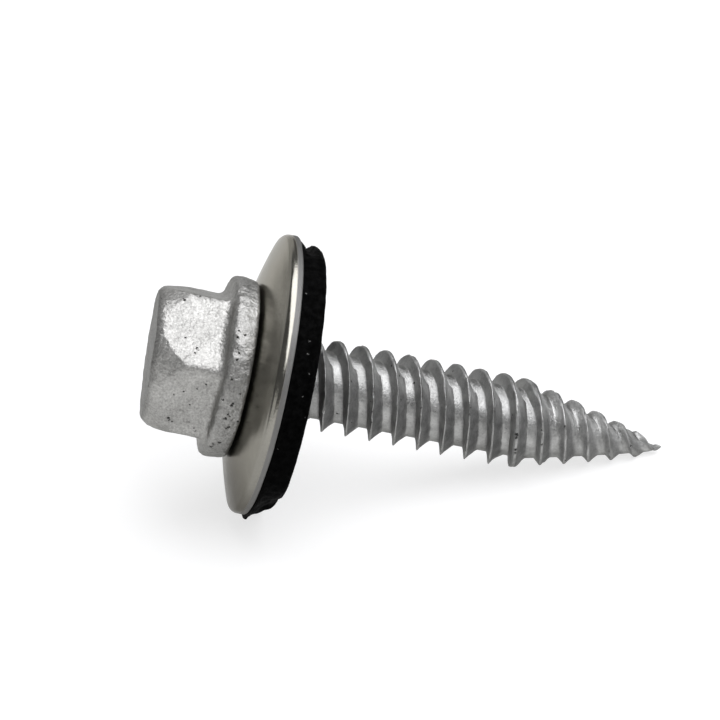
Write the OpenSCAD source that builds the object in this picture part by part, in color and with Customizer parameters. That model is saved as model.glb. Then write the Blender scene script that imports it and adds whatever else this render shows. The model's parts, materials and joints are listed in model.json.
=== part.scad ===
// Roofing screw with a captive sealing washer, lying as it comes to rest.
// Each piece is drawn upright on the screw's own axis: z = 0 is the flange's bearing face and +z runs
// to the point. lay_down() then turns the pieces over and sets them on the floor.

/* [Thread] */
// Outer diameter over the thread
thread_d = 6.3; // [5.8:0.05:7]
// Diameter at the root between the ridges
core_d = 4.62; // [4.3:0.02:4.9]
// Distance from one ridge to the next along the shank
ridge_pitch = 1.685; // [1.5:0.005:2.2]
// Width of the flat land along a ridge's crest
crest_land = 0.16; // [0.06:0.02:0.3]
// Lean of a ridge's flank on the head side, away from square to the axis
head_lean = 17; // [8:1:25]
// Lean of a ridge's flank on the point side, away from square to the axis
point_lean = 38; // [25:1:42]
// Run of the rounded foot of the head side flank along the shank
foot_run = 0.2; // [0.1:0.02:0.3]
// Where a ridge crosses the shank's zero line, measured from the bearing face
ridge_at = 6.29; // [5.5:0.01:7]

/* [Shank] */
// Length from the flange's bearing face to the point
shank_l = 29.9; // [26:0.1:45]
// Diameter of the plain neck that carries the washer
neck_d = 5; // [4.8:0.02:5.2]
// Gap between the sealing face and the first trace of a ridge
runout_gap = 0.3; // [0.2:0.05:0.6]
// Length over which a ridge grows to its full height
runout_l = 0.85; // [0.5:0.05:1.5]
// Length of the point, over which the ridges' crests come together
crest_point_l = 10.6; // [8:0.1:13]
// Length of the point, over which the core comes together
core_point_l = 9.5; // [7:0.1:12]

/* [Head] */
// Width of the hexagon across its flats
hex_af = 9.5; // [8:0.05:10]
// Height of the whole head above the bearing face
head_h = 6.15; // [5:0.05:7.5]
// How far the edge of the hexagon's flat end stands in from the flats
end_inset = 0.2; // [0.1:0.05:0.8]
// Slope of the chamfer round the hexagon's end
end_slope = 47; // [25:1:55]
// Turn of the hexagon about the shank's axis
hex_turn = 34; // [0:1:60]
// Diameter of the flange
flange_d = 12.4; // [11.6:0.05:14]
// Thickness of the flange at its round rim
flange_t = 1.8; // [1.4:0.05:2.2]
// Rise of the flange's top from its rim to the hexagon
flange_rise = 0.3; // [0.1:0.02:0.5]
// Radius of the fillet under the flange
neck_fillet = 0.5; // [0.2:0.05:0.7]

/* [Steel washer] */
// Outer diameter of the steel cup
cup_d = 19.3; // [17:0.1:24]
// Thickness of the sheet
cup_t = 0.7; // [0.5:0.05:1]
// Hole in the steel
cup_hole_d = 7; // [6.6:0.1:8]
// Diameter of the flat middle under the flange
cup_flat_d = 9.6; // [9:0.1:11]
// Depth of the dish, from the flat middle to the rim
cup_dish = 1.32; // [0.8:0.02:2]
// How the dish curves: 1 is a straight cone, more is rounder
cup_curve = 1.15; // [1:0.05:1.6]
// Radius on the rim's upper edge
cup_edge = 0.25; // [0.1:0.05:0.3]
// Gap between the flange and the flat middle
cup_gap = 0.1; // [0.05:0.01:0.3]

/* [Rubber seal] */
// How far the rubber's rim stands in from the steel's
seal_inset = 0.05; // [0:0.01:0.5]
// Thickness of the rubber at its rim
seal_t = 1.7; // [1.2:0.05:2.4]
// Clearance between the rubber's bore and the neck, on the radius
seal_clear = 0.08; // [0.02:0.01:0.1]
// Radius on the rubber's outer corner
seal_edge = 0.35; // [0.1:0.05:0.6]
// Length of the flare at the mouth of the rubber's bore
flare_l = 0.7; // [0.4:0.05:1]
// Room round the thread at the mouth of the flare
flare_room = 0.2; // [0.1:0.05:0.4]
// How far the punched ring's rim lies off the middle
seal_shift = 0.27; // [0:0.01:0.4]

/* [Rest] */
// Turn of the whole screw about its own axis as it lies
lie_turn = 25; // [0:1:60]
// How deep the soft ring's edge is pressed flat where the screw rests on it
flat_depth = 0.25; // [0.1:0.05:0.3]

/* [Hidden] */
$fn = 96;

starts = 2;
lead = starts * ridge_pitch;
core_r = core_d / 2;
crest_r = thread_d / 2;
neck_r = neck_d / 2;
end_r = hex_af / 2 - end_inset;
cup_r = cup_d / 2;
seal_r = cup_r - seal_inset;
// How far the shapes of one solid reach into each other
bite = 0.2;

// Heights along the axis, from the bearing face towards the point
cup_top = cup_gap;
rim_top = cup_top + cup_dish;
rim_foot = rim_top + cup_t;
seal_face = rim_foot + seal_t;
ridge_start = seal_face + runout_gap;

// How finely the thread is drawn
slices_per_turn = 20;
slice_h = lead / slices_per_turn;
thread_first = ridge_start - slice_h;
slices = floor((shank_l - thread_first) / slice_h);
flank_steps = 4;
foot_steps = 3;
root_steps = 4;
// How quickly the rounded foot of the head side flank flattens out
foot_curve = 1.8;

// The core narrows to the point along a slightly bulging curve, and so do the crests
core_bulge = 0.88;
crest_bulge = 0.74;
function narrowing(z, length, bulge) =
    let (left = (shank_l - z) / length) left >= 1 ? 1 : left <= 0 ? 0 : pow(left, bulge);
function core_at(z) = core_r * narrowing(z, core_point_l, core_bulge);
function crest_at(z) = crest_r * narrowing(z, crest_point_l, crest_bulge);
function eased(t) = t <= 0 ? 0 : t >= 1 ? 1 : t * t * (3 - 2 * t);
function ridge_height(z) =
    max(crest_at(z) - core_at(z), 0) * eased((z - ridge_start) / runout_l);

// One ridge across its width as [distance towards the point, share of the height], for a ridge h high
function ridge_outline(h) =
    let (
        half = crest_land / 2,
        head_foot = -half - h * tan(head_lean) - foot_run,
        point_foot = half + h * tan(point_lean),
        next_foot = head_foot + ridge_pitch
    )
    concat(
        [for (i = [root_steps - 1:-1:1]) [point_foot + (next_foot - point_foot) * i / root_steps, 0]],
        [for (i = [0:flank_steps - 1]) [point_foot + (half - point_foot) * i / flank_steps, i / flank_steps]],
        [[half, 1], [-half, 1]],
        [for (i = [1:foot_steps])
            let (t = i / foot_steps) [-half + (head_foot + half) * t, pow(1 - t, foot_curve)]]
    );

// One slice of the threaded shank: the outline of each ridge, wrapped round the axis at height z
function slice_points(z) =
    let (h = ridge_height(z), outline = ridge_outline(h), core = core_at(z))
    [for (k = [0:starts - 1], p = outline)
        let (turn = 360 * ((z - ridge_at - p[0]) / lead + k / starts), r = core + h * p[1])
        [r * cos(turn), r * sin(turn), z]];

module thread() {
    rings = [for (i = [0:slices - 1]) slice_points(thread_first + i * slice_h)];
    per_ring = len(rings[0]);
    last = len(rings) - 1;
    points = concat([for (ring = rings, p = ring) p], [[0, 0, thread_first], [0, 0, shank_l]]);
    start_cap = per_ring * (last + 1);
    tip = start_cap + 1;
    faces = concat(
        [for (j = [0:per_ring - 1]) [start_cap, j, (j + 1) % per_ring]],
        [for (i = [0:last - 1], j = [0:per_ring - 1])
            let (a = i * per_ring + j, b = i * per_ring + (j + 1) % per_ring)
            each [[a, a + per_ring, b], [b, a + per_ring, b + per_ring]]],
        [for (j = [0:per_ring - 1])
            [last * per_ring + j, tip, last * per_ring + (j + 1) % per_ring]]
    );
    polyhedron(points, faces, convexity = 10);
}

// The neck, with its fillet under the flange and an end that sinks into the thread's core
module neck() {
    neck_end = ridge_start + runout_l * 0.4;
    rotate_extrude()
        polygon(concat(
            [[0, -bite], [neck_r + neck_fillet, -bite]],
            [for (a = [0:15:90])
                [neck_r + neck_fillet * (1 - sin(a)), neck_fillet * (1 - cos(a))]],
            [[neck_r, neck_end], [core_r - bite, neck_end + bite], [0, neck_end + bite]]
        ));
}

module flange() {
    rim_r = flange_t / 2;
    rim_at = flange_d / 2 - rim_r;
    top = -flange_t - flange_rise;
    rotate_extrude()
        polygon(concat(
            [[0, 0]],
            [for (a = [90:-10:-90]) [rim_at + rim_r * cos(a), -rim_r + rim_r * sin(a)]],
            [[end_r - bite, top], [0, top]]
        ));
}

module hexagon() {
    corner_r = hex_af / sqrt(3);
    over = corner_r + bite;
    intersection() {
        rotate([0, 0, hex_turn])
            translate([0, 0, -head_h])
            cylinder(r = corner_r, h = head_h - flange_t / 2, $fn = 6);
        rotate_extrude()
            polygon([[0, -head_h], [end_r, -head_h],
                [over, -head_h + (over - end_r) * tan(end_slope)], [over, 0], [0, 0]]);
    }
}

// The dish falls away from the flat middle along a curve, drawn as a few straight lines
dish_steps = 8;
dish_run = cup_r - cup_flat_d / 2;
function dish_r(i) = cup_flat_d / 2 + dish_run * i / dish_steps;
function dish_drop(i) = cup_dish * pow(i / dish_steps, cup_curve);
function dish_at(r) =
    let (t = (r - cup_flat_d / 2) / dish_run * dish_steps, i = min(floor(t), dish_steps - 1))
    dish_drop(i) + (dish_drop(i + 1) - dish_drop(i)) * (t - i);
function dish_line(to_r, height) =
    concat([for (i = [0:dish_steps]) if (dish_r(i) < to_r) [dish_r(i), height + dish_drop(i)]],
        [[to_r, height + dish_at(to_r)]]);
function backwards(list) = [for (i = [len(list) - 1:-1:0]) list[i]];

// Lying: the flat on the rubber's corner and one of the last crests near the point touch the floor.
// Each crest along the lowest line gives the tilt at which it would touch, and the least one counts.
touch_r = seal_r - seal_edge;
touch_z = seal_face - seal_edge;
lowest_r = touch_r + seal_shift * cos(lie_turn);
pressed_edge = seal_edge - flat_depth;
function crest_on_floor(k) = ridge_at + lead * lie_turn / 360 + ridge_pitch * k;
function tilt_of(z, r) =
    let (dr = lowest_r - r, dz = z - touch_z) atan2(dr, dz) + asin(pressed_edge / norm([dr, dz]));
crest_tilts = [for (k = [0:floor((shank_l - crest_on_floor(0)) / ridge_pitch)])
    tilt_of(crest_on_floor(k), crest_at(crest_on_floor(k)))];
tilt = min(concat(crest_tilts, [tilt_of(shank_l, 0)]));

axis_h = lowest_r * cos(tilt) + touch_z * sin(tilt) + pressed_edge;
head_x = -head_h * cos(tilt) - end_r * sin(tilt);
point_x = shank_l * cos(tilt);
side_y = max(seal_r + seal_shift * sin(lie_turn) - cup_r, 0) / 2;
module lay_down() {
    translate([-(head_x + point_x) / 2, side_y, axis_h])
        rotate([0, 90 + tilt, 0])
        rotate([0, 0, -lie_turn])
        children();
}

module screw() {
    color("silver") lay_down() union() {
        hexagon();
        flange();
        neck();
        thread();
    }
}

module steel_washer() {
    color("gainsboro") lay_down() rotate_extrude()
        polygon(concat(
            [[cup_hole_d / 2, cup_top]],
            dish_line(cup_r - cup_edge, cup_top),
            [[cup_r - cup_edge * 0.3, rim_top + cup_edge * 0.15], [cup_r, rim_top + cup_edge]],
            backwards(dish_line(cup_r, cup_top + cup_t)),
            [[cup_hole_d / 2, cup_top + cup_t]]
        ));
}

// The rim is off the middle, while the bore and the side bonded to the steel are round the axis
module rubber_ring() {
    bore_r = neck_r + seal_clear;
    mouth_r = crest_r + flare_room;
    reach_r = seal_r + seal_shift + bite;
    difference() {
        translate([seal_shift, 0, 0])
            rotate_extrude()
            polygon(concat(
                [[0, cup_top], [seal_r, cup_top]],
                [for (a = [0:15:90])
                    [touch_r + seal_edge * cos(a), touch_z + seal_edge * sin(a)]],
                [[0, seal_face]]
            ));
        rotate_extrude()
            polygon(concat(
                [[0, cup_top + cup_t]],
                dish_line(reach_r, cup_top + cup_t),
                [[reach_r, -bite], [0, -bite]]
            ));
        rotate_extrude()
            polygon([[0, 0], [bore_r, 0], [bore_r, seal_face - flare_l], [mouth_r, seal_face],
                [mouth_r, seal_face + bite], [0, seal_face + bite]]);
    }
}

module floor_side() {
    wide = 2 * shank_l;
    translate([-wide, -wide, -cup_r])
        cube([2 * wide, 2 * wide, cup_r]);
}

module rubber_seal() {
    color("#1c1c1c") difference() {
        lay_down() rubber_ring();
        floor_side();
    }
}

screw();
steel_washer();
rubber_seal();
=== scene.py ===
import json
import math
import bmesh
import bpy
import numpy as np
from mathutils import Matrix, Vector, noise


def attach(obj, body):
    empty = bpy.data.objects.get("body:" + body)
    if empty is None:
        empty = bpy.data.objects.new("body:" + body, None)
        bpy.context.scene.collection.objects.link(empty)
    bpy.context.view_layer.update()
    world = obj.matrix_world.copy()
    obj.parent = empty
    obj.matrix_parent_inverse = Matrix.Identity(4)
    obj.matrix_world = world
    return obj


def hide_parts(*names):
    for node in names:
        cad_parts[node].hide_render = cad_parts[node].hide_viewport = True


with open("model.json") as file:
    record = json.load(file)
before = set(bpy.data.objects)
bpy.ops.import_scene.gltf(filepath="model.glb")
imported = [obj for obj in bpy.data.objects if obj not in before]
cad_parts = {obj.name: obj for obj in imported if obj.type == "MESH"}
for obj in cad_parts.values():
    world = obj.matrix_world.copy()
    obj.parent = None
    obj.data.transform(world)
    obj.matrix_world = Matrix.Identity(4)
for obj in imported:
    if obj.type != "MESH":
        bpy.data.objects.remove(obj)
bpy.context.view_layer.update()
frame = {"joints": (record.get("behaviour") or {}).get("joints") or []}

# Metal roofing screw: a hexagon head with a flange, a dished washer with a rubber ring, and a twin start thread.
# The pieces are drawn in millimetres on the screw's own axis: z = 0 is the flange's bearing face and +z runs
# to the point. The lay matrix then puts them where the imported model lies, in metres.

lying = {
    "turn": 25.0,        # turn of the whole screw about its own axis, in degrees
    "hingeAt": 0.002,    # the washer's hinge is named this far from the bearing face
}
hinge = frame["joints"][0]
screwAxis = Vector(hinge["axis"]).normalized()
bearing = Vector(hinge["pos_m"]) - screwAxis * lying["hingeAt"]
tilt = math.atan2(-screwAxis.z, screwAxis.x)
lay = (Matrix.Translation(bearing) @ Matrix.Rotation(math.pi / 2 + tilt, 4, "Y")
       @ Matrix.Rotation(-math.radians(lying["turn"]), 4, "Z") @ Matrix.Scale(0.001, 4))


# Small helpers for node trees, which the materials and the thread share

def plug(tree, value, socket):
    if isinstance(value, bpy.types.NodeSocket):
        tree.links.new(value, socket)
    else:
        socket.default_value = value


def calc(tree, operation, *values, clamp=False):
    node = tree.nodes.new("ShaderNodeMath")
    node.operation = operation
    node.use_clamp = clamp
    for value, socket in zip(values, node.inputs):
        plug(tree, value, socket)
    return node.outputs[0]


def remap(tree, value, low, high, toLow=0.0, toHigh=1.0, smooth=False):
    node = tree.nodes.new("ShaderNodeMapRange")
    if smooth:
        node.interpolation_type = "SMOOTHSTEP"
    plug(tree, value, node.inputs["Value"])
    plug(tree, low, node.inputs["From Min"])
    plug(tree, high, node.inputs["From Max"])
    plug(tree, toLow, node.inputs["To Min"])
    plug(tree, toHigh, node.inputs["To Max"])
    return node.outputs[0]


def spread(tree, value, toLow=0.0, toHigh=1.0):
    # most values of a noise lie between these two
    return remap(tree, value, 0.3, 0.7, toLow, toHigh)


def band(tree, value, rise, fall):
    # full between a rising and a falling edge
    return calc(tree, "MULTIPLY", remap(tree, value, *rise), remap(tree, value, *fall))


def mottle(tree, first, second, share):
    return calc(tree, "ADD", calc(tree, "MULTIPLY", first, share), calc(tree, "MULTIPLY", second, 1 - share))


def cloud(tree, place, size, detail=2.0, rough=0.5):
    node = tree.nodes.new("ShaderNodeTexNoise")
    plug(tree, place, node.inputs["Vector"])
    node.inputs["Scale"].default_value = 1.0 / size
    node.inputs["Detail"].default_value = detail
    node.inputs["Roughness"].default_value = rough
    return node.outputs[0]


def cells(tree, place, size):
    node = tree.nodes.new("ShaderNodeTexVoronoi")
    plug(tree, place, node.inputs["Vector"])
    node.inputs["Scale"].default_value = 1.0 / size
    return node.outputs[0]


markEdge = {
    "jag": 0.30,            # raggedness of a mark's edge, in mm
    "jagSize": 0.08,
    "outer": 1.2,           # a mark starts at this share of its size and is full at the next
    "inner": 0.5,
}


def spotsAt(tree, place, marks):
    # small ragged marks at given places: x, y, z and size
    jag = calc(tree, "SUBTRACT", cloud(tree, place, markEdge["jagSize"]), 0.5)
    jag = calc(tree, "MULTIPLY", jag, markEdge["jag"])
    total = 0.0
    for x, y, z, size in marks:
        away = tree.nodes.new("ShaderNodeVectorMath")
        away.operation = "DISTANCE"
        tree.links.new(place, away.inputs[0])
        away.inputs[1].default_value = (x, y, z)
        reach = calc(tree, "ADD", away.outputs["Value"], jag)
        mark = remap(tree, reach, size * markEdge["outer"], size * markEdge["inner"])
        total = calc(tree, "MAXIMUM", total, mark)
    return total


def pitMask(tree, place, grain, look):
    # random pits in some patches of the skin, and the pits at given places
    jag = calc(tree, "MULTIPLY", calc(tree, "SUBTRACT", grain, 0.5), look["pitJag"])
    pit = remap(tree, calc(tree, "ADD", cells(tree, place, look["pitSpacing"]), jag), *look["pitEdge"])
    chosen = remap(tree, cloud(tree, place, look["pitPatch"], 1.0), *look["pitPatchAt"])
    return calc(tree, "MAXIMUM", calc(tree, "MULTIPLY", pit, chosen), spotsAt(tree, place, look["pits"]))


def blendColours(tree, share, first, second):
    node = tree.nodes.new("ShaderNodeMix")
    node.data_type = "RGBA"
    plug(tree, share, node.inputs["Factor"])
    plug(tree, first, node.inputs["A"])
    plug(tree, second, node.inputs["B"])
    return node.outputs["Result"]


def bumps(tree, height, depth):
    node = tree.nodes.new("ShaderNodeBump")
    node.inputs["Strength"].default_value = 1.0
    node.inputs["Distance"].default_value = depth
    plug(tree, height, node.inputs["Height"])
    return node.outputs[0]


def freshMaterial(name):
    material = bpy.data.materials.new(name)
    material.use_nodes = True
    tree = material.node_tree
    shader = tree.nodes["Principled BSDF"]
    where = tree.nodes.new("ShaderNodeTexCoord").outputs["Object"]
    back = lay.inverted()
    turned = tree.nodes.new("ShaderNodeMapping")      # Object coordinates, turned back to the screw's own axis
    turned.inputs["Location"].default_value = back.to_translation()
    turned.inputs["Rotation"].default_value = back.to_euler()
    turned.inputs["Scale"].default_value = (1000.0, 1000.0, 1000.0)
    tree.links.new(where, turned.inputs["Vector"])
    return material, tree, shader, turned.outputs[0]


def partsOf(tree, place):
    parts = tree.nodes.new("ShaderNodeSeparateXYZ")
    tree.links.new(place, parts.inputs[0])
    return parts.outputs


# Materials

headLook = {
    "light": (0.60, 0.594, 0.572, 1.0),
    "dark": (0.24, 0.237, 0.226, 1.0),
    "edgeOn": (0.45, 0.45, 0.44, 1.0),     # tint where it is seen at a flat angle
    "metallic": 0.74,       # the dull zinc skin scatters a little light
    "pit": (0.04, 0.04, 0.038, 1.0),
    "grain": 0.15,          # size of the galvanised grain, in mm
    "crumb": 0.255,         # and of the coarser crumbs in it
    "patch": 1.6,
    "grainShare": 0.65,     # the grain's share of the mottling, beside the patches
    "rough": (0.30, 0.44),
    "grainDepth": 0.000045,
    "endShade": 0.34,        # painted shade: how much darker the struck end is painted
    "endShadeAt": (0.36, 0.02),     # and over which depth this fades, from the end
    "flangeDull": 0.20,
    "pitDeep": 2.5,
    "pitSpacing": 1.15,     # of the places where a random pit may sit, in mm
    "pitPatch": 1.9,
    "pitPatchAt": (0.54, 0.60),
    "pitEdge": (0.09, 0.04),
    "pitJag": 0.20,
    "pits": (               # seen in the photo: x, y, z and size
        (0.90, -4.86, -5.24, 0.06), (1.00, -4.86, -5.17, 0.08), (1.17, -4.84, -5.12, 0.06),
        (3.06, -3.19, -6.04, 0.09), (2.92, -3.47, -5.94, 0.06), (1.37, -4.88, -2.69, 0.06),
        (-0.57, -4.95, -3.84, 0.06), (-0.90, -4.78, -3.76, 0.07), (-0.78, -4.83, -3.66, 0.05),
        (-1.43, -4.55, -4.60, 0.07), (-4.04, -3.23, -5.11, 0.09), (-3.90, -3.34, -4.99, 0.08),
        (-3.77, -2.39, -6.50, 0.08), (1.77, -4.17, -6.03, 0.08), (1.71, -3.98, -6.27, 0.06),
        (1.91, -4.19, -5.89, 0.05), (3.63, -1.74, -6.21, 0.09), (3.94, -2.64, -5.50, 0.09),
        (3.74, -2.58, -5.84, 0.10), (3.96, -1.83, -6.02, 0.07), (4.36, -1.99, -5.43, 0.09),
        (4.49, -2.18, -5.04, 0.07), (4.63, -2.26, -4.65, 0.07), (4.22, -2.40, -5.27, 0.08),
        (4.07, -3.05, -4.54, 0.09), (4.17, -2.93, -4.46, 0.06), (4.62, -2.69, -2.54, 0.06),
        (4.42, -2.86, -2.69, 0.05), (2.11, -4.39, -4.04, 0.05), (2.92, -3.85, -3.36, 0.06),
        (2.44, -4.14, -4.61, 0.05), (1.77, -4.62, -3.19, 0.05), (0.44, -4.47, -6.26, 0.06),
        (2.16, -5.70, -1.52, 0.09), (3.03, -5.41, -0.95, 0.06), (3.36, -5.21, -1.05, 0.10),
        (3.16, -5.33, -0.80, 0.06), (5.42, -2.94, -1.35, 0.10), (5.30, -3.10, -1.24, 0.08),
        (5.07, -3.55, -0.89, 0.10), (5.21, -3.32, -1.27, 0.08), (2.42, -5.71, -0.85, 0.10),
        (2.29, -5.76, -0.79, 0.07), (0.69, -6.13, -1.25, 0.07), (-1.10, -6.10, -1.05, 0.08),
        (-0.64, -6.19, -1.13, 0.06), (-2.10, -5.80, -1.34, 0.07), (-1.44, -6.01, -1.24, 0.06),
        (3.91, -4.80, -0.66, 0.10), (3.99, -4.74, -0.80, 0.07), (1.56, -5.96, -0.49, 0.07),
    ),
}


def galvanisedHead():
    material, tree, shader, place = freshMaterial("galvanisedHead")
    grain = cloud(tree, place, headLook["grain"], 3.0, 0.6)
    patches = cloud(tree, place, headLook["patch"])
    crumbs = cells(tree, place, headLook["crumb"])
    pit = pitMask(tree, place, grain, headLook)
    shade = mottle(tree, spread(tree, grain), spread(tree, patches), headLook["grainShare"])
    colour = blendColours(tree, shade, headLook["dark"], headLook["light"])
    x, y, z = partsOf(tree, place)
    slopeX, slopeY = head["endSlopes"]
    level = calc(tree, "ADD", calc(tree, "MULTIPLY", x, slopeX), calc(tree, "MULTIPLY", y, slopeY))
    level = calc(tree, "ADD", calc(tree, "ADD", z, level), head["height"] + head["endRise"])
    # painted shade on the struck end; the flange gets a duller tone of its own
    end = remap(tree, level, *headLook["endShadeAt"], 0.0, headLook["endShade"])
    flange = remap(tree, z, -head["flangeThick"] - 0.02, -head["flangeThick"] + 0.16, 0.0, headLook["flangeDull"])
    colour = blendColours(tree, calc(tree, "MAXIMUM", end, flange), colour, (0.02, 0.02, 0.02, 1.0))
    colour = blendColours(tree, pit, colour, headLook["pit"])
    tree.links.new(colour, shader.inputs["Base Color"])
    shader.inputs["Metallic"].default_value = headLook["metallic"]
    shader.inputs["Specular Tint"].default_value = headLook["edgeOn"]
    low, high = headLook["rough"]
    tree.links.new(remap(tree, crumbs, 0.0, 0.8, low, high), shader.inputs["Roughness"])
    height = calc(tree, "SUBTRACT", calc(tree, "ADD", grain, calc(tree, "MULTIPLY", crumbs, 0.6)),
                  calc(tree, "MULTIPLY", pit, headLook["pitDeep"]))
    tree.links.new(bumps(tree, height, headLook["grainDepth"]), shader.inputs["Normal"])
    return material


threadLook = {
    "light": (0.50, 0.50, 0.488, 1.0),
    "dark": (0.24, 0.24, 0.234, 1.0),
    "edgeOn": (0.40, 0.40, 0.39, 1.0),     # tint where it is seen at a flat angle
    "metallic": 0.90,
    "flankMetallic": 0.45,  # the flanks keep a dull zinc skin
    "pit": (0.035, 0.035, 0.034, 1.0),
    "rough": (0.26, 0.42),
    "grain": 0.15,
    "patch": 0.9,
    "patchAt": (0.35, 0.65),
    "grainShare": 0.5,
    "grainDepth": 0.000040,
    "headSide": ((-0.46, -0.26), (-0.04, -0.10)),     # the flanks, by their distance from a ridge's middle
    "pointSide": ((0.06, 0.12), (0.80, 0.55)),
    "headFlankShade": 0.28,       # painted shade: the head side's flank is painted darker than the rolled root
    "lowerFlankShade": 0.42,      # painted shade: the point side's flank too, on the screw's under side
    "lowerAt": (-1.3, 0.0),
    "flankRough": 0.22,     # added to the roughness on the flanks
    "pointRough": 0.12,     # and towards the point
    "pointRoughAt": (21.5, 24.5),
    "pitDeep": 2.0,
    "pitSpacing": 0.75,
    "pitPatch": 1.1,
    "pitPatchAt": (0.56, 0.62),
    "pitEdge": (0.13, 0.06),
    "pitJag": 0.14,
    "pits": (               # seen in the photo: x, y, z and size
        (-0.62, -2.91, 7.23, 0.07), (-1.64, -2.34, 10.48, 0.08), (0.25, -3.08, 12.21, 0.08),
        (1.69, -1.64, 6.89, 0.07), (2.10, -1.77, 7.97, 0.05), (-2.33, -1.58, 19.92, 0.07),
        (0.80, -3.03, 19.06, 0.13), (1.00, -2.99, 19.10, 0.10), (1.15, -2.53, 21.05, 0.08),
        (-0.35, -2.41, 22.40, 0.08), (1.83, -2.58, 19.30, 0.11), (0.19, -2.81, 20.78, 0.08),
        (0.46, -2.66, 8.78, 0.06), (-0.08, -2.80, 10.82, 0.06), (-0.42, -3.08, 15.59, 0.08),
        (0.05, -3.14, 15.58, 0.07), (-2.12, -1.93, 15.40, 0.06), (1.13, -2.95, 9.01, 0.06),
        (2.05, -2.40, 19.38, 0.08), (0.86, -3.04, 7.35, 0.05),
    ),
}


def rolledThread():
    material, tree, shader, place = freshMaterial("rolledThread")
    grain = cloud(tree, place, threadLook["grain"], 4.0, 0.65)
    patches = cloud(tree, place, threadLook["patch"])
    pit = pitMask(tree, place, grain, threadLook)
    broad = remap(tree, patches, *threadLook["patchAt"])
    shade = mottle(tree, spread(tree, grain), broad, threadLook["grainShare"])
    colour = blendColours(tree, shade, threadLook["dark"], threadLook["light"])
    x, y, z = partsOf(tree, place)
    pitch = thread["Ridge Pitch"]
    turned = calc(tree, "MULTIPLY", calc(tree, "ARCTAN2", y, x), pitch * thread["Starts"] / (2 * math.pi))
    late = remap(tree, z, thread["Late Start"] - 1, thread["Late Start"] + 1, 0.0, thread["Late Shift"], True)
    off = calc(tree, "SUBTRACT", calc(tree, "SUBTRACT", z, thread["Ridge At"]), calc(tree, "ADD", turned, late))
    off = calc(tree, "WRAP", off, pitch / 2, -pitch / 2)
    off = calc(tree, "ADD", off, calc(tree, "MULTIPLY", calc(tree, "SUBTRACT", patches, 0.5), 0.12))
    body = remap(tree, z, thread["Ridge Start"] + 0.2, thread["Ridge Start"] + 0.8)
    headSide = band(tree, off, *threadLook["headSide"])
    pointSide = band(tree, off, *threadLook["pointSide"])
    # painted shade: the flanks are painted darker, the point side's only on the under side, and less of it towards
    # the point
    under = remap(tree, x, *threadLook["lowerAt"], 0.0, threadLook["lowerFlankShade"], True)
    paintedShade = calc(tree, "ADD", calc(tree, "MULTIPLY", headSide, threadLook["headFlankShade"]),
                calc(tree, "MULTIPLY", pointSide, under))
    paintedShade = calc(tree, "MULTIPLY", calc(tree, "MULTIPLY", paintedShade, body), remap(tree, z, 22.5, 25.0, 1.0, 0.35))
    colour = blendColours(tree, paintedShade, colour, (0.0, 0.0, 0.0, 1.0))
    colour = blendColours(tree, pit, colour, threadLook["pit"])
    tree.links.new(colour, shader.inputs["Base Color"])
    shader.inputs["Specular Tint"].default_value = threadLook["edgeOn"]
    low, high = threadLook["rough"]
    matt = calc(tree, "MULTIPLY", calc(tree, "MAXIMUM", headSide, pointSide), body)
    metal = remap(tree, matt, 0.0, 1.0, threadLook["metallic"], threadLook["flankMetallic"])
    tree.links.new(metal, shader.inputs["Metallic"])
    rough = calc(tree, "MULTIPLY", matt, threadLook["flankRough"])
    late = remap(tree, z, *threadLook["pointRoughAt"], 0.0, threadLook["pointRough"])
    rough = calc(tree, "ADD", rough, late)
    tree.links.new(calc(tree, "ADD", spread(tree, grain, low, high), rough), shader.inputs["Roughness"])
    height = calc(tree, "SUBTRACT", grain, calc(tree, "MULTIPLY", pit, threadLook["pitDeep"]))
    tree.links.new(bumps(tree, height, threadLook["grainDepth"]), shader.inputs["Normal"])
    return material


washerLook = {
    "light": (0.50, 0.485, 0.430, 1.0),
    "dark": (0.365, 0.352, 0.312, 1.0),
    "paintedShade": 0.22,           # painted shade: the plate is painted darker everywhere but on a lit patch on its upper side
    "paintedLightAt": ((-3.0, -6.5), (-5.5, -3.5)),     # where that patch begins and is full, in x and in y
    "plateUnderShade": 0.28,        # painted shade: darker still towards the under side, from one x to the other
    "plateUnderShadeAt": (0.0, 8.0),
    "plateUnderShadeMoreAt": (-6.0, -1.5),     # it doubles from one y to the other
    "edgeOn": (0.55, 0.54, 0.52, 1.0),     # tint where it is seen at a flat angle
    "sheared": (0.22, 0.218, 0.212, 1.0),
    "shearedRough": 0.4,    # added to the roughness there
    "rough": (0.16, 0.24),
    "streak": 0.12,         # size of the fine turning lines, in mm
    "patch": 2.2,
    "fine": 0.14,
    "patchShare": 0.6,
    "streakDepth": 0.000008,
}


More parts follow.
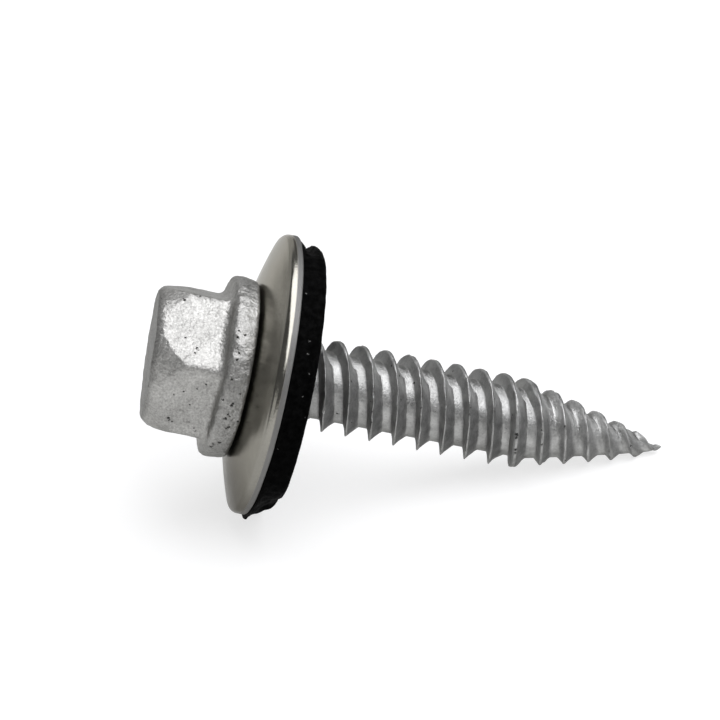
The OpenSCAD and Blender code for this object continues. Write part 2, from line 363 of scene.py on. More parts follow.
def platedSheet():
    material, tree, shader, place = freshMaterial("platedSheet")
    x, y, z = partsOf(tree, place)
    radius = calc(tree, "SQRT", calc(tree, "ADD", calc(tree, "MULTIPLY", x, x), calc(tree, "MULTIPLY", y, y)))
    rings = tree.nodes.new("ShaderNodeCombineXYZ")
    tree.links.new(radius, rings.inputs[0])
    tree.links.new(z, rings.inputs[1])
    lines = cloud(tree, rings.outputs[0], washerLook["streak"], 3.0, 0.6)
    patches = cloud(tree, place, washerLook["patch"], 3.0, 0.55)
    fine = cloud(tree, place, washerLook["fine"], 3.0, 0.6)
    shade = mottle(tree, spread(tree, patches), spread(tree, fine), washerLook["patchShare"])
    outer, rimTop = cup["radius"], cup["top"] + cup["dish"]
    wall = calc(tree, "MULTIPLY", remap(tree, radius, outer - 0.06, outer - 0.03),
                remap(tree, z, rimTop + 0.24, rimTop + 0.32))
    colour = blendColours(tree, shade, washerLook["dark"], washerLook["light"])
    # painted light and shade: a lit patch on the upper side, and more shade towards the under side
    litX, litY = washerLook["paintedLightAt"]
    paintedLight = calc(tree, "MULTIPLY", remap(tree, x, *litX), remap(tree, y, *litY))
    plateUnderShade = calc(tree, "MULTIPLY", remap(tree, x, *washerLook["plateUnderShadeAt"], 0.0, washerLook["plateUnderShade"], True),
                   remap(tree, y, *washerLook["plateUnderShadeMoreAt"], 1.0, 2.0))
    paintedShade = calc(tree, "ADD", remap(tree, paintedLight, 0.0, 1.0, washerLook["paintedShade"], 0.0), plateUnderShade)
    colour = blendColours(tree, paintedShade, colour, (0.01, 0.01, 0.01, 1.0))
    tree.links.new(blendColours(tree, wall, colour, washerLook["sheared"]), shader.inputs["Base Color"])
    shader.inputs["Metallic"].default_value = 1.0
    shader.inputs["Specular Tint"].default_value = washerLook["edgeOn"]
    low, high = washerLook["rough"]
    rough = calc(tree, "MULTIPLY", wall, washerLook["shearedRough"])
    rough = calc(tree, "ADD", spread(tree, patches, low, high), rough)
    tree.links.new(rough, shader.inputs["Roughness"])
    height = calc(tree, "ADD", calc(tree, "MULTIPLY", lines, 0.5), fine)
    height = calc(tree, "ADD", height, calc(tree, "MULTIPLY", wall, calc(tree, "MULTIPLY", fine, 4.0)))
    tree.links.new(bumps(tree, height, washerLook["streakDepth"]), shader.inputs["Normal"])
    return material


rubberLook = {
    "black": (0.0005, 0.0005, 0.0005, 1.0),
    "worn": (0.004, 0.004, 0.004, 1.0),
    "dust": (0.14, 0.14, 0.135, 1.0),
    "lump": 0.45,
    "grain": 0.09,
    "grainDepth": 0.00005,
    "rough": (0.55, 0.85),
    "sheen": 0.02,
    "dustSpacing": 0.62,    # of the places where a random speck may lie, in mm
    "dustEdge": (0.075, 0.04),
    "dustPatch": 0.8,
    "dustPatchAt": (0.58, 0.62),
    "specks": (             # dust seen in the photo: x, y, z and size
        (-5.82, -7.32, 2.39, 0.05), (-2.77, -9.11, 2.92, 0.05), (-1.91, -9.28, 2.97, 0.06),
        (-0.66, -9.51, 3.26, 0.04), (0.92, -9.49, 3.14, 0.05), (4.62, -8.54, 2.29, 0.04),
    ),
}


def blackRubber():
    material, tree, shader, place = freshMaterial("blackRubber")
    grain = cloud(tree, place, rubberLook["grain"], 4.0, 0.65)
    lumps = cloud(tree, place, rubberLook["lump"], 3.0, 0.6)
    dust = remap(tree, cells(tree, place, rubberLook["dustSpacing"]), *rubberLook["dustEdge"])
    chosen = remap(tree, cloud(tree, place, rubberLook["dustPatch"], 1.0), *rubberLook["dustPatchAt"])
    dust = calc(tree, "MULTIPLY", dust, chosen)
    dust = calc(tree, "MAXIMUM", dust, spotsAt(tree, place, rubberLook["specks"]))
    colour = blendColours(tree, remap(tree, lumps, 0.4, 0.7), rubberLook["black"], rubberLook["worn"])
    colour = blendColours(tree, dust, colour, rubberLook["dust"])
    tree.links.new(colour, shader.inputs["Base Color"])
    tree.links.new(spread(tree, grain, *rubberLook["rough"]), shader.inputs["Roughness"])
    shader.inputs["Specular IOR Level"].default_value = rubberLook["sheen"]
    height = calc(tree, "ADD", calc(tree, "MULTIPLY", grain, 0.5), lumps)
    tree.links.new(bumps(tree, height, rubberLook["grainDepth"]), shader.inputs["Normal"])
    return material


# Mesh helpers, all in millimetres on the screw's own axis

def wave(point, size, seed):
    return noise.noise(Vector(point) / size + Vector((seed * 7.31, seed * 3.17, seed * 5.53)))


def towards(start, end, share):
    return (start[0] + (end[0] - start[0]) * share, start[1] + (end[1] - start[1]) * share)


def straight(start, end, steps):
    return [towards(start, end, i / steps) for i in range(1, steps)]


def softCorner(before, corner, after, reach, steps, most=0.5):
    entry = towards(corner, before, min(reach / max(math.dist(before, corner), 1e-9), most))
    leave = towards(corner, after, min(reach / max(math.dist(after, corner), 1e-9), most))
    line = []
    for i in range(steps + 1):
        share = i / steps
        line.append(towards(towards(entry, corner, share), towards(corner, leave, share), share))
    return line


def arc(centre, radius, start, end, steps):
    angles = [math.radians(start + (end - start) * i / steps) for i in range(steps + 1)]
    return [(centre[0] + radius * math.cos(a), centre[1] + radius * math.sin(a)) for a in angles]


def joinUp(parts, runs):
    # parts: rounded corners, runs: steps of the straight run after each of them
    line = []
    for part, run, following in zip(parts, runs, parts[1:]):
        line += part + straight(part[-1], following[0], run)
    return line + parts[-1]


def skin(columns, pole=False, closed=False):
    # columns: for each angle, the points from the first row, which may be a pole, to the last
    rows = len(columns[0])
    count = len(columns)
    verts = [point for column in columns for point in column]
    faces = []
    for c in range(count):
        here, there = c * rows, (c + 1) % count * rows
        last = rows if closed else rows - 1
        for r in range(last):
            down = (r + 1) % rows
            faces.append((here + r, here + down, there + down, there + r))
    mesh = bpy.data.meshes.new("skin")
    mesh.from_pydata(verts, [], faces)
    board = bmesh.new()
    board.from_mesh(mesh)
    if pole:
        bmesh.ops.remove_doubles(board, verts=board.verts, dist=1e-5)
    bpy.data.meshes.remove(mesh)
    return board


def onRing(profile, angle):
    return [(r * math.cos(angle), r * math.sin(angle), z) for r, z in profile]


def finishPiece(board, name, materials, node, body):
    bmesh.ops.recalc_face_normals(board, faces=board.faces)
    bmesh.ops.transform(board, matrix=lay, verts=board.verts)
    mesh = bpy.data.meshes.new(name)
    board.to_mesh(mesh)
    board.free()
    for material in materials:
        mesh.materials.append(material)
    mesh.polygons.foreach_set("use_smooth", [True] * len(mesh.polygons))
    piece = bpy.data.objects.new(name, mesh)
    bpy.context.scene.collection.objects.link(piece)
    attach(piece, body)
    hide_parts(node)
    sides = sum(len(face.vertices) - 2 for face in mesh.polygons)
    print(name, "made,", sides, "triangles")
    return piece


# Thread: one grid whose columns follow the two ridges round the shank, shaped by Geometry Nodes

thread = {
    "Start": 0.7,             # where the threaded piece joins the neck under the flange
    "Length": 29.9,
    "Starts": 2,
    "Ridge Pitch": 1.685,
    "Ridge At": 6.325,        # where a ridge crosses the zero line
    "Late Shift": 0.20,       # the ridges lie this much nearer the point from Late Start on
    "Late Start": 20.3,
    "Neck Radius": 2.5,
    "Core Radius": 2.36,
    "Crest Radius": 3.17,
    "Crest Land": 0.12,
    "Blunt Land": 0.30,       # added to the crest's land from Blunt Start on
    "Blunt Start": 18.9,
    "Crest Crown": 0.07,      # share of the height by which the crest is rounded
    "Head Lean": 12.0,
    "Late Lean": 28.0,        # added to the head side's lean from Blunt Start on
    "Last Shift": 0.16,       # the last turn lies this much nearer the head again
    "Last Start": 25.8,
    "Point Lean": 38.0,
    "Head Foot": 0.08,
    "Point Foot": 0.10,
    "Head Hollow": 1.45,      # the flanks run hollow into the root
    "Point Hollow": 1.3,
    "Top Hollow": 0.9,        # on the upper side the crest is rolled over: broader, with a steep point flank
    "Top Land": 0.20,
    "Top Steepness": 0.5,
    "Ridge Start": 4.12,
    "Runout": 0.85,
    "Core Point": 9.5,        # length over which the core narrows to the point
    "Crest Point": 10.6,
    "Core Bulge": 0.88,
    "Crest Bulge": 0.74,
    "Wobble": 0.06,           # unevenness of the crests
    "Wander": 0.07,
    "Nicks": 0.12,
    "Curl": 0.22,             # how far the very tip is bent
    "Curl Length": 1.1,
    "Seed": 3.0,
}
ridgeColumns = (12, 6, 12, 14)    # head side flank, crest, point side flank, root
ringsPerTurn = 72


def threadTree():
    tree = bpy.data.node_groups.new("twinStartThread", "GeometryNodeTree")
    tree.interface.new_socket("Geometry", in_out="OUTPUT", socket_type="NodeSocketGeometry")
    for name, value in thread.items():
        kind = "NodeSocketInt" if name == "Starts" else "NodeSocketFloat"
        tree.interface.new_socket(name, in_out="INPUT", socket_type=kind).default_value = value
    tree.interface.new_socket("Material", in_out="INPUT", socket_type="NodeSocketMaterial")
    given = tree.nodes.new("NodeGroupInput").outputs

    def sums(*values):
        total = values[0]
        for value in values[1:]:
            total = calc(tree, "ADD", total, value)
        return total

    def times(first, second):
        return calc(tree, "MULTIPLY", first, second)

    def minus(first, second):
        return calc(tree, "SUBTRACT", first, second)

    starts = thread["Starts"]
    perRidge = sum(ridgeColumns)
    lead = thread["Ridge Pitch"] * starts
    rings = int((thread["Length"] - thread["Start"]) / lead * ringsPerTurn)
    grid = tree.nodes.new("GeometryNodeMeshGrid")
    grid.inputs["Size X"].default_value = 1.0
    grid.inputs["Size Y"].default_value = 1.0
    grid.inputs["Vertices X"].default_value = starts * perRidge + 1
    grid.inputs["Vertices Y"].default_value = rings + 1
    flat = tree.nodes.new("ShaderNodeSeparateXYZ")
    tree.links.new(tree.nodes.new("GeometryNodeInputPosition").outputs[0], flat.inputs[0])
    across = times(calc(tree, "ADD", flat.outputs[0], 0.5), given["Starts"])
    which = calc(tree, "FLOOR", calc(tree, "ADD", across, 1e-4))
    share = minus(across, which)
    along = calc(tree, "ADD", flat.outputs[1], 0.5)
    z = sums(given["Start"], times(along, minus(given["Length"], given["Start"])))
    left = minus(given["Length"], z)

    def narrowing(length, bulge):
        return calc(tree, "POWER", calc(tree, "DIVIDE", left, length, clamp=True), bulge)

    core = times(given["Core Radius"], narrowing(given["Core Point"], given["Core Bulge"]))
    crest = times(given["Crest Radius"], narrowing(given["Crest Point"], given["Crest Bulge"]))
    runoutEnd = sums(given["Ridge Start"], given["Runout"])

    def easing(name, before, after):
        # grows from this far before a named place to this far after it
        return remap(tree, z, minus(given[name], before), sums(given[name], after), smooth=True)

    core = sums(given["Neck Radius"], times(easing("Ridge Start", 0.25, 0.3), minus(core, given["Neck Radius"])))
    grown = remap(tree, z, given["Ridge Start"], runoutEnd, smooth=True)
    height = times(calc(tree, "MAXIMUM", minus(crest, core), 0.0), grown)

    # Where each column lies across one ridge, and how high it stands
    marks = [sum(ridgeColumns[:i]) / perRidge for i in range(5)]
    headPart, crestPart, pointPart, rootPart = (remap(tree, share, marks[i], marks[i + 1]) for i in range(4))

    def lean(degrees):
        return calc(tree, "TANGENT", calc(tree, "RADIANS", degrees))

    headLean = sums(given["Head Lean"], times(easing("Blunt Start", -1.4, 2.7), given["Late Lean"]))
    headRun = sums(times(height, lean(headLean)), given["Head Foot"])
    pointRun = sums(times(height, lean(given["Point Lean"])), given["Point Foot"])
    bluntEnd = remap(tree, z, sums(given["Blunt Start"], 1.0), sums(given["Blunt Start"], 1.5), 1.0, 0.15)
    blunt = times(easing("Blunt Start", 0.5, 0.3), bluntEnd)
    land = sums(given["Crest Land"], times(blunt, times(given["Blunt Land"], grown)))
    ridgeAt = sums(given["Ridge At"], times(easing("Late Start", 1.0, 1.0), given["Late Shift"]))
    ridgeAt = minus(ridgeAt, times(easing("Last Start", 0.6, 0.6), given["Last Shift"]))

    def turnWith(extra, pointRun):
        # the turn at which a column meets this height, with extra land on its crest
        rootRun = minus(minus(minus(given["Ridge Pitch"], headRun), sums(pointRun, extra)), land)
        offset = sums(times(headRun, minus(headPart, 1.0)), times(land, minus(crestPart, 0.5)),
                      times(extra, minus(crestPart, 0.5)), times(pointRun, pointPart), times(rootRun, rootPart))
        ridges = calc(tree, "DIVIDE", minus(minus(z, ridgeAt), offset), given["Ridge Pitch"])
        return calc(tree, "DIVIDE", sums(ridges, which), given["Starts"])

    upperSide = times(calc(tree, "COSINE", times(turnWith(0.0, pointRun), 2 * math.pi)), -1.0)
    upperSide = times(remap(tree, upperSide, 0.6, 0.97, smooth=True), grown)
    turn = turnWith(times(given["Top Land"], upperSide),
                    times(pointRun, minus(1.0, times(upperSide, given["Top Steepness"]))))
    hollow = remap(tree, upperSide, 0.0, 1.0, given["Point Hollow"], given["Top Hollow"])
    rise = calc(tree, "MINIMUM", calc(tree, "POWER", headPart, given["Head Hollow"]),
                calc(tree, "POWER", minus(1.0, pointPart), hollow))
    fromMiddle = minus(times(crestPart, 2.0), 1.0)
    crown = times(given["Crest Crown"], minus(1.0, times(fromMiddle, fromMiddle)))
    rise = sums(times(rise, minus(1.0, given["Crest Crown"])), crown)

    # Unevenness: the rolled crests wander a little and carry small nicks
    def polar(radius, angle):
        node = tree.nodes.new("ShaderNodeCombineXYZ")
        tree.links.new(times(radius, calc(tree, "COSINE", angle)), node.inputs[0])
        tree.links.new(times(radius, calc(tree, "SINE", angle)), node.inputs[1])
        tree.links.new(sums(z, given["Seed"]), node.inputs[2])
        return node.outputs[0]

    sway = minus(cloud(tree, polar(core, times(turn, 2 * math.pi)), 0.8, 1.0), 0.5)
    sway = times(times(sway, given["Wander"]), times(grown, 2.0))
    turn = sums(turn, calc(tree, "DIVIDE", sway, times(given["Ridge Pitch"], given["Starts"])))
    angle = times(turn, 2 * math.pi)
    plain = polar(sums(core, times(height, rise)), angle)
    wander = minus(cloud(tree, plain, 0.9, 1.0), 0.5)
    nick = remap(tree, cloud(tree, plain, 0.28, 1.0), 0.60, 0.74)
    uneven = minus(times(times(wander, given["Wobble"]), 2.0), times(times(nick, given["Nicks"]), rise))
    fade = remap(tree, left, 0.2, 2.0)
    start = remap(tree, z, given["Ridge Start"], runoutEnd)
    radius = sums(core, times(height, rise), times(times(uneven, sums(times(rise, 0.8), 0.2)), times(fade, start)))
    bent = remap(tree, left, given["Curl Length"], 0.0)
    place = tree.nodes.new("ShaderNodeCombineXYZ")
    tree.links.new(minus(times(radius, calc(tree, "COSINE", angle)), times(given["Curl"], times(bent, bent))),
                   place.inputs[0])
    tree.links.new(times(radius, calc(tree, "SINE", angle)), place.inputs[1])
    tree.links.new(z, place.inputs[2])
    shaped = tree.nodes.new("GeometryNodeSetPosition")
    tree.links.new(grid.outputs["Mesh"], shaped.inputs["Geometry"])
    tree.links.new(place.outputs[0], shaped.inputs["Position"])
    merged = tree.nodes.new("GeometryNodeMergeByDistance")
    tree.links.new(shaped.outputs[0], merged.inputs["Geometry"])
    merged.inputs["Distance"].default_value = 1e-4
    real = tree.nodes.new("GeometryNodeRealizeInstances")
    tree.links.new(merged.outputs[0], real.inputs[0])
    painted = tree.nodes.new("GeometryNodeSetMaterial")
    tree.links.new(real.outputs[0], painted.inputs["Geometry"])
    tree.links.new(given["Material"], painted.inputs["Material"])
    tree.links.new(painted.outputs[0], tree.nodes.new("NodeGroupOutput").inputs[0])
    return tree


def threadMesh():
    tree = threadTree()
    blank = bpy.data.objects.new("threadBlank", bpy.data.meshes.new("threadBlank"))
    bpy.context.scene.collection.objects.link(blank)
    modifier = blank.modifiers.new("thread", "NODES")
    modifier.node_group = tree
    for item in tree.interface.items_tree:
        if item.in_out == "INPUT" and item.name in thread:
            modifier[item.identifier] = thread[item.name]
        elif item.in_out == "INPUT":
            modifier[item.identifier] = threadMaterial
    depsgraph = bpy.context.evaluated_depsgraph_get()
    mesh = bpy.data.meshes.new_from_object(blank.evaluated_get(depsgraph), depsgraph=depsgraph)
    blank.modifiers.remove(modifier)
    bpy.data.objects.remove(blank)
    return mesh


# Head: each column runs from the middle of the hexagon's end, over its chamfer and flat, round the flange
# and along the neck's fillet to the thread

head = {
    "acrossFlats": 9.5,
    "height": 6.15,
    "shift": 0.12,          # the hexagon lies a little off the screw's axis
    "hexTurn": 34.9,
    "cornerRound": 0.7,
    "endRadius": 4.28,      # of the flat end, inside its domed chamfer
    "endShift": (0.06, 0.04),
    "domeDepth": 1.5,       # depth of the chamfer one millimetre out from the flat end
    "domePower": 1.5,
    "edgeRound": 0.16,
    "flangeWidth": 12.4,
    "flangeThick": 1.78,
    "flangeFillet": 0.62,
    "shoulderRound": 0.42,
    "bearingRound": 0.26,
    "neckFillet": 0.5,
    "columns": 264,
    "swell": 0.055,         # unevenness of the forged and galvanised surface
    "rimLumps": 1.0,        # and more of it round the flange's rim, from one radius to the other
    "rimLumpsAt": (5.6, 6.1),
    "endRise": 0.12,        # the struck end is askew: its rise, and its slopes sideways and upwards
    "endSlopes": (-0.045, -0.060),
    "struckAt": (3.6, 5.8),       # this fades in over these heights above the bearing face
}


def rampUp(value, span):
    return min(max((value - span[0]) / (span[1] - span[0]), 0.0), 1.0)


def hexRadius(angle):
    flat = head["acrossFlats"] / 2
    gamma = math.radians((math.degrees(angle) - head["hexTurn"] + 30) % 60 - 30)
    rounding = head["cornerRound"]
    centre = (flat - rounding) / math.cos(math.radians(30))
    edge = math.atan2(rounding * 0.5, centre + rounding * math.cos(math.radians(30)))
    if abs(gamma) > edge:
        radius = flat / math.cos(math.radians(30) - abs(gamma))
    else:
        radius = centre * math.cos(gamma) + math.sqrt(rounding ** 2 - (centre * math.sin(gamma)) ** 2)
    return radius + head["shift"] * math.cos(angle)


def flangeLine():
    reach = head["flangeWidth"] / 2
    top = -head["flangeThick"]
    neck = thread["Neck Radius"]
    fillet = head["neckFillet"]
    inner, shoulder = (head["acrossFlats"] / 2 - 0.5, top - 0.08), (reach - 0.08, top + 0.1)
    belly, bearing = (reach + 0.02, top * 0.55), (reach - 0.08, 0.0)
    parts = [
        [inner],
        softCorner(inner, shoulder, belly, head["shoulderRound"], 12),
        softCorner(shoulder, belly, bearing, 0.25, 6),
        softCorner(belly, bearing, (neck, 0.0), head["bearingRound"], 12),
        arc((neck + fillet, fillet), fillet, -90, -180, 10),
        [(neck, thread["Start"])],
    ]
    return joinUp(parts, (30, 3, 3, 12, 4))


def headBoard():
    top = -head["height"]
    line = np.array(flangeLine())
    steps = np.hypot(*np.diff(line, axis=0).T)
    travel = np.concatenate([[0], np.cumsum(steps)])
    rimIndex = int(np.argmax(line[:, 0]))

    def onFlange(distance):
        return (float(np.interp(distance, travel, line[:, 0])), float(np.interp(distance, travel, line[:, 1])))

    columns = []
    for c in range(head["columns"]):
        angle = 2 * math.pi * c / head["columns"]
        radius = hexRadius(angle)
        shiftX, shiftY = head["endShift"]
        endRadius = head["endRadius"] + shiftX * math.cos(angle) + shiftY * math.sin(angle)
        dome = []
        for i in range(13):
            out = (radius - endRadius) * i / 12
            dome.append((endRadius + out, top + head["domeDepth"] * out ** head["domePower"]))
        meets = float(np.interp(radius, line[:rimIndex + 1, 0], travel[:rimIndex + 1]))
        foot = onFlange(meets)
        fillet = min(head["flangeFillet"], travel[rimIndex] - meets - 0.2)
        after = onFlange(meets + fillet)
        parts = [
            [(0.0, top)],
            dome[:9],
            softCorner(dome[8], dome[12], foot, head["edgeRound"], 8, 0.8),
            softCorner(dome[12], foot, after, head["flangeFillet"], 9, 1.0),
        ]
        profile = joinUp(parts, (14, 2, 16))
        first = meets + fillet
        profile += [onFlange(first + (travel[rimIndex] - first) * i / 16) for i in range(1, 16)]
        profile += [tuple(point) for point in line[rimIndex:]]
        columns.append(onRing(profile, angle))
    board = skin(columns, pole=True)
    board.normal_update()
    slopeX, slopeY = head["endSlopes"]
    moved = {}
    for vert in board.verts:
        if vert.co.z < -0.02:
            broad = wave(vert.co, 1.7, 1) * 0.8 + wave(vert.co, 0.55, 2) * 0.5
            rim = rampUp(math.hypot(vert.co.x, vert.co.y), head["rimLumpsAt"])
            broad += wave(vert.co, 0.45, 3) * head["rimLumps"] * rim
            struck = rampUp(-vert.co.z, head["struckAt"]) ** 2
            askew = head["endRise"] + slopeX * vert.co.x + slopeY * vert.co.y
            moved[vert] = vert.normal * (broad * head["swell"]) - Vector((0, 0, askew * struck))
    for vert, step in moved.items():
        vert.co += step
    return board


burrs = {
    # torn and rolled-up bits of the crests: z, degrees, radius, reach, outwards, fattening along the axis
    "lumps": (
        (13.68, 182, 2.70, 0.16, 0.12, 0.0),
        (13.45, 176, 2.85, 0.14, 0.08, 0.0),
        (15.34, 182, 2.78, 0.20, 0.20, 0.0),
        (15.58, 180, 2.55, 0.14, 0.12, 0.0),
        (17.00, 181, 2.76, 0.16, 0.10, 0.0),
        (17.30, 178, 2.52, 0.17, 0.16, 0.0),
        (19.85, 0, 2.75, 0.40, 0.03, 0.18),
        (21.92, 0, 2.15, 0.16, 0.18, 0.0),
        (25.20, 180, 1.35, 0.28, 0.14, 0.0),
        (27.45, 180, 0.80, 0.60, 0.24, 0.0),
        (9.72, 2, 3.00, 0.14, -0.12, 0.10),
    ),
}


def addBurrs(mesh):
    for z, degrees, radius, reach, out, fat in burrs["lumps"]:
        angle = math.radians(degrees)
        middle = Vector((radius * math.cos(angle), radius * math.sin(angle), z))
        outward = Vector((math.cos(angle), math.sin(angle), 0))
        for vert in mesh.vertices:
            away = vert.co - middle
            if away.length < reach * 2.5:
                share = math.exp(-(away.length / reach) ** 2)
                vert.co += outward * (out * share) + Vector((0, 0, fat * share * away.z / reach))


def roofingScrew():
    board = headBoard()
    headFaces = len(board.faces)
    mesh = threadMesh()
    addBurrs(mesh)
    board.from_mesh(mesh)
    bpy.data.meshes.remove(mesh)
    board.faces.ensure_lookup_table()
    for face in board.faces[headFaces:]:
        face.material_index = 1
    rims = [edge for edge in board.edges if len(edge.link_faces) == 1]
    bmesh.ops.bridge_loops(board, edges=rims)
    return finishPiece(board, "roofingScrew", [headMaterial, threadMaterial], "screw", "screw")


# Steel cup: the pressed washer, with a sheared rim and a few shallow dents

cup = {
    "radius": 9.65,
    "thick": 0.7,
    "hole": 3.5,
    "flat": 5.5,
    "top": 0.1,
    "dish": 1.32,
    "topDish": 1.17,        # the upper side drops a little less, so the sheared rim is thicker
    "footRound": 0.12,      # of the rim's lower edge
    "holeRound": 0.1,
    "curve": 1.3,
    "lipAt": 8.2,           # a faint ring pressed near the rim
    "lipWidth": 1.45,
    "lipRise": 0.004,
    "rimRound": 0.36,
    "columns": 240,
    "dents": 0.035,
}


def dishDrop(r, depth=cup["dish"]):
    share = max(r - cup["flat"], 0.0) / (cup["radius"] - cup["flat"])
    lip = max(r - cup["lipAt"], 0.0)
    return depth * share ** cup["curve"] - cup["lipRise"] * math.sin(lip * math.pi * 2 / cup["lipWidth"])


def steelCup():
    top, thick, radius, hole = cup["top"], cup["thick"], cup["radius"], cup["hole"]
    first, last = hole + 0.12, radius - cup["rimRound"]
    outward = [first + (last - first) * i / 34 for i in range(35)]
    upper = [(r, top + dishDrop(r, cup["topDish"])) for r in outward]
    lower = [(r, top + thick + dishDrop(r)) for r in reversed(outward)]
    rimTop = top + cup["topDish"]
    rimFoot = top + cup["dish"] + thick
    rim = softCorner(upper[-1], (radius, rimTop), (radius, rimFoot), cup["rimRound"], 9, 1.0)[1:]
    rim += straight(rim[-1], (radius, rimFoot - cup["footRound"]), 4)
    rim += softCorner((radius, rimTop), (radius, rimFoot), lower[0], cup["footRound"], 4)
    bore = softCorner(lower[-1], (hole, top + thick), (hole, top), cup["holeRound"], 3)
    bore += softCorner((hole, top + thick), (hole, top), upper[0], cup["holeRound"], 3)
    profile = upper + rim + lower[1:] + bore
    columns = [onRing(profile, 2 * math.pi * c / cup["columns"]) for c in range(cup["columns"])]
    board = skin(columns, closed=True)
    for vert in board.verts:
        r = math.hypot(vert.co.x, vert.co.y)
        edge = max(0.0, (r - 6.0) / (radius - 6.0))
        push = wave(vert.co, 3.5, 11) * 0.8 + wave(vert.co, 1.1, 12) * 0.3 * edge
        vert.co.z += push * cup["dents"] * edge
    return finishPiece(board, "steelCup", [sheetMaterial], "steel_washer", "washer")


# Rubber ring: bonded under the cup, with a torn rim that lies a little off the middle

ring = {
    "radius": 9.6,
    "shift": 0.27,
    "thick": 1.7,
    "bore": 2.58,
    "mouth": 3.35,
    "flare": 0.7,
    "edge": 0.40,
    "columns": 420,
    "ragged": 0.10,
    "lumps": 0.09,
    "softFrom": 8.2,        # only the ring's rim, outside this radius, is torn
    "torn": ((-16, 17, 0.95), (6, 12, 0.45)),     # places where the rim is torn: angle, width, depth
    "notch": (183.0, 17.0, 0.70),
    "notchAt": (0.46, 0.24),      # its middle and half width, as shares of the ring's thickness
    "notchFoot": 0.24,            # depth of the notch below that
    "spur": (1.0, 5.0, 0.22),
    "offFloor": 0.02,             # the rim's flat lies this far above the floor
}


def nearAngle(degrees, at, width):
    away = (degrees - at + 180) % 360 - 180
    return math.exp(-(away / width) ** 4)


def rubberBoard():
    under = cup["top"] + cup["thick"]
    face = under + cup["dish"] + ring["thick"]
    mouth, throat = (ring["mouth"], face), (ring["bore"], face - ring["flare"])
    columns = []
    for c in range(ring["columns"]):
        angle = 2 * math.pi * c / ring["columns"]
        # the rim is round about a middle that is shifted along x
        radius = (ring["shift"] * math.cos(angle)
                  + math.sqrt(ring["radius"] ** 2 - (ring["shift"] * math.sin(angle)) ** 2))
        worn = wave((math.cos(angle) * 9, math.sin(angle) * 9, 0), 0.9, 21) * ring["ragged"]
        radius -= max(worn, -0.03) + 0.03
        upper = [ring["bore"] + (radius - 0.1 - ring["bore"]) * i / 18 for i in range(19)]
        profile = [(r, under + 0.002 + dishDrop(r)) for r in upper]
        topEdge = under + dishDrop(radius)
        profile += softCorner(profile[-1], (radius, topEdge), (radius, face), 0.1, 3)
        profile += straight(profile[-1], (radius, face - ring["edge"]), 12)
        profile += softCorner((radius, topEdge), (radius, face), mouth, ring["edge"], 6)
        profile += straight(profile[-1], mouth, 18)
        profile += [mouth] + straight(mouth, throat, 4)
        profile += [throat] + straight(throat, profile[0], 5)
        columns.append(onRing(profile, angle))
    board = skin(columns, closed=True)
    for vert in board.verts:
        r = math.hypot(vert.co.x, vert.co.y)
        degrees = math.degrees(math.atan2(vert.co.y, vert.co.x))
        if r > ring["softFrom"]:
            low = (vert.co.z - under - cup["dish"]) / ring["thick"]
            cut = sum(depth * nearAngle(degrees, at, width) for at, width, depth in ring["torn"])
            cut *= rampUp(low, (0, 1)) * (1 + 0.5 * wave(vert.co, 0.8, 27))
            at, width, depth = ring["notch"]
            middle = 1 - abs(low - ring["notchAt"][0]) / ring["notchAt"][1]
            cut += depth * nearAngle(degrees, at, width) * rampUp(middle * 1.6, (0, 1))
            cut += ring["notchFoot"] * nearAngle(degrees, at, width) * rampUp(low, (0.5, 1))
            at, width, depth = ring["spur"]
            cut -= depth * nearAngle(degrees, at, width) * max(1 - abs(low - 0.15) / 0.2, 0.0)
            share = (r - ring["softFrom"]) / (ring["radius"] - ring["softFrom"])
            vert.co -= Vector((vert.co.x / r, vert.co.y / r, 0)) * (cut * share)
        if r > 9.0 and vert.co.z > under + dishDrop(r) + 0.25:
            outward = Vector((vert.co.x / r, vert.co.y / r, 0))
            lump = wave(vert.co, 0.55, 23) * 0.6 + wave(vert.co, 0.22, 24) * 0.4
            vert.co += outward * (lump * ring["lumps"] - 0.03)
        if vert.co.z > face - 0.02 and r > ring["mouth"] + 0.1:
            vert.co.z += min(wave(vert.co, 0.8, 25) * 0.02, 0.0)
    return board


def sealRing():
    board = rubberBoard()
    down = (lay.inverted().to_3x3() @ Vector((0, 0, -1))).normalized()
    for vert in board.verts:
        low = (lay @ vert.co).z * 1000
        if low < ring["offFloor"]:
            vert.co -= down * (ring["offFloor"] - low)     # the rim's flat, where it lies on the floor
    return finishPiece(board, "sealRing", [rubberMaterial], "rubber_seal", "washer")


headMaterial = galvanisedHead()
threadMaterial = rolledThread()
sheetMaterial = platedSheet()
rubberMaterial = blackRubber()
print("materials made")

roofingScrew()
steelCup()
sealRing()


# Floor, lights and camera

studio = {
    "floorSize": 6.0,
    "floorColour": (0.35, 0.35, 0.35, 1.0),
    "floorLift": 0.72,      # white that only the camera and reflections see
    "world": (0.12, 0.12, 0.12, 1.0),
}


def floorMaterial():
    material = bpy.data.materials.new("paleFloor")
    material.use_nodes = True
    tree = material.node_tree
    shader = tree.nodes["Principled BSDF"]
    shader.inputs["Base Color"].default_value = studio["floorColour"]
    shader.inputs["Roughness"].default_value = 0.9
    shader.inputs["Specular IOR Level"].default_value = 0.1
    rays = tree.nodes.new("ShaderNodeLightPath").outputs
    seen = calc(tree, "ADD", rays["Is Camera Ray"], rays["Is Glossy Ray"])
    seen = calc(tree, "ADD", seen, rays["Is Transmission Ray"], clamp=True)
    glow = tree.nodes.new("ShaderNodeEmission")
    tree.links.new(calc(tree, "MULTIPLY", seen, studio["floorLift"]), glow.inputs["Strength"])
    both = tree.nodes.new("ShaderNodeAddShader")
    tree.links.new(shader.outputs[0], both.inputs[0])
    tree.links.new(glow.outputs[0], both.inputs[1])
    tree.links.new(both.outputs[0], tree.nodes["Material Output"].inputs["Surface"])
    return material


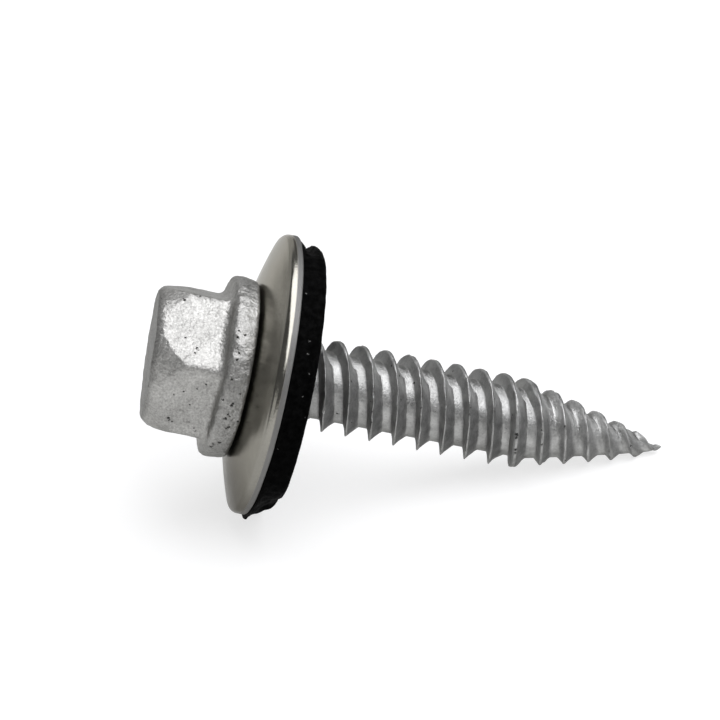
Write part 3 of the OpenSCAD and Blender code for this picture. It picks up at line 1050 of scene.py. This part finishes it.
def makeFloor():
    half = studio["floorSize"] / 2
    mesh = bpy.data.meshes.new("floor")
    mesh.from_pydata([(-half, -half, 0), (half, -half, 0), (half, half, 0), (-half, half, 0)], [], [(0, 1, 2, 3)])
    mesh.materials.append(floorMaterial())
    floor = bpy.data.objects.new("floor", mesh)
    bpy.context.scene.collection.objects.link(floor)


lamps = {
    "overhead": {"at": (0.14, -0.11, 0.32), "aim": (0.14, -0.11, 0.0), "width": 0.34, "height": 0.68,
                 "radiance": 3.1, "colour": (0.985, 0.99, 1.02), "turn": 20.0},
    "behind": {"at": (-0.19, 0.38, 0.135), "aim": (0.0, 0.0, 0.02), "width": 0.55, "height": 0.25,
               "radiance": 0.42, "colour": (1.0, 1.0, 1.0), "turn": 0.0},
    "left": {"at": (-0.36, -0.34, 0.08), "aim": (0.0, 0.0, 0.02), "width": 0.5, "height": 0.19,
             "radiance": 0.65, "colour": (1.0, 1.0, 1.0), "turn": 0.0},
}


def softBox(name, at, aim, width, height, radiance, colour, turn):
    light = bpy.data.lights.new(name, "AREA")
    light.color = colour
    light.shape = "RECTANGLE"
    light.size = width
    light.size_y = height
    light.energy = radiance * math.pi * width * height
    lamp = bpy.data.objects.new(name, light)
    lamp.location = at
    facing = (Vector(aim) - Vector(at)).to_track_quat("-Z", "Y").to_matrix()
    lamp.rotation_euler = (facing @ Matrix.Rotation(math.radians(turn), 3, "Z")).to_euler()
    bpy.context.scene.collection.objects.link(lamp)


view = {
    "axisPoint": 8.011,     # the point of the screw's axis nearest to the image's middle
    "above": 2.17,          # and how far the middle lies above it
    "swing": 9.5,           # how far the camera stands towards the head
    "roll": 10.9,
    "distance": 0.280,
    "lens": 205.1,
}


def makeCamera():
    turn = math.radians(lying["turn"])
    along = screwAxis
    across = Vector((0, 1, 0))
    upright = Vector((math.sin(tilt), 0, math.cos(tilt)))
    near = -math.cos(turn) * across + math.sin(turn) * upright
    high = math.cos(turn) * upright + math.sin(turn) * across
    swing = math.radians(view["swing"])
    roll = math.radians(view["roll"])
    target = bearing + (along * view["axisPoint"] + high * view["above"]) * 0.001
    towardsCamera = -math.sin(swing) * along + math.cos(swing) * near
    sideways = math.cos(swing) * along + math.sin(swing) * near
    right = math.cos(roll) * sideways + math.sin(roll) * high
    up = -math.sin(roll) * sideways + math.cos(roll) * high
    camera = bpy.data.cameras.new("camera")
    camera.lens = view["lens"]
    camera.sensor_width = 36.0
    camera.clip_start = 0.01
    camera.clip_end = 20.0
    holder = bpy.data.objects.new("camera", camera)
    basis = Matrix((right, up, towardsCamera)).transposed().to_4x4()
    holder.matrix_world = Matrix.Translation(target + towardsCamera * view["distance"]) @ basis
    bpy.context.scene.collection.objects.link(holder)
    bpy.context.scene.camera = holder


makeFloor()
for name, lamp in lamps.items():
    softBox(name, **lamp)
makeCamera()

world = bpy.data.worlds.new("studioAir")
bpy.context.scene.world = world
world.use_nodes = True
world.node_tree.nodes["Background"].inputs["Color"].default_value = studio["world"]
bpy.context.scene.view_settings.view_transform = "Standard"
print("floor, lights and camera placed")
